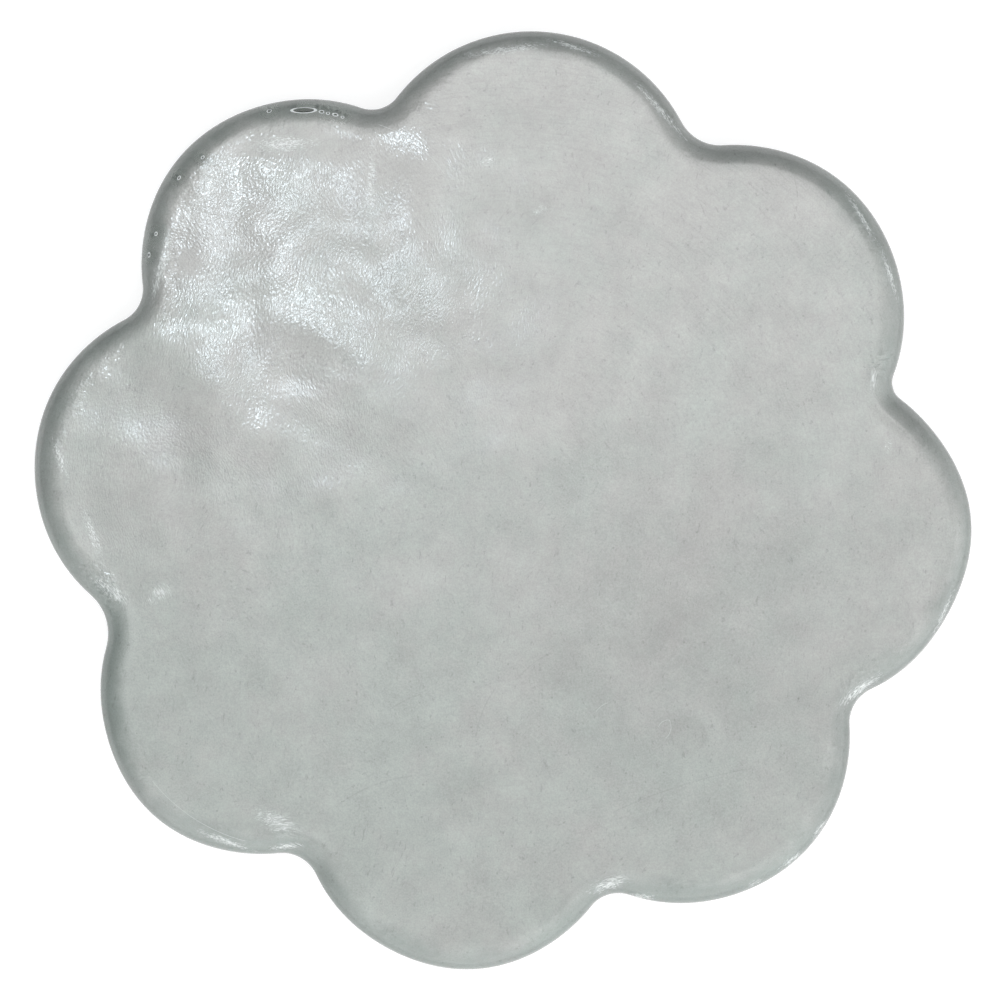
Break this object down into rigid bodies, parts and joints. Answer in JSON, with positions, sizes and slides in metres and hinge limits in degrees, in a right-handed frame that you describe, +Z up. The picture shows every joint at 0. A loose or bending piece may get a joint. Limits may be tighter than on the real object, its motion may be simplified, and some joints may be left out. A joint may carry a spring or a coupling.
{
  "type": "glass serving board",
  "caption": "Thick translucent glass serving board with a scalloped, flower-shaped outline and soft rounded edge, standing on small clear bumper feet.",
  "frame": {"origin": "on the table, under the middle of the board", "axes": "+Z up, square to the serving face; +X through the tip of one petal"},
  "size_m": [0.33, 0.33, 0.016],
  "materials": {
    "cast_glass": "fire-polished clear edge, fine rippled and lightly hazed faces",
    "clear_rubber": "clear moulded polyurethane, satin"
  },
  "bodies": {
    "root": {"glass_slab": "cast_glass", "bumper_foot_1": "clear_rubber", "bumper_foot_2": "clear_rubber", "bumper_foot_3": "clear_rubber", "bumper_foot_4": "clear_rubber", "bumper_foot_5": "clear_rubber", "bumper_foot_6": "clear_rubber", "bumper_foot_7": "clear_rubber", "bumper_foot_8": "clear_rubber"}
  },
  "joints": []
}
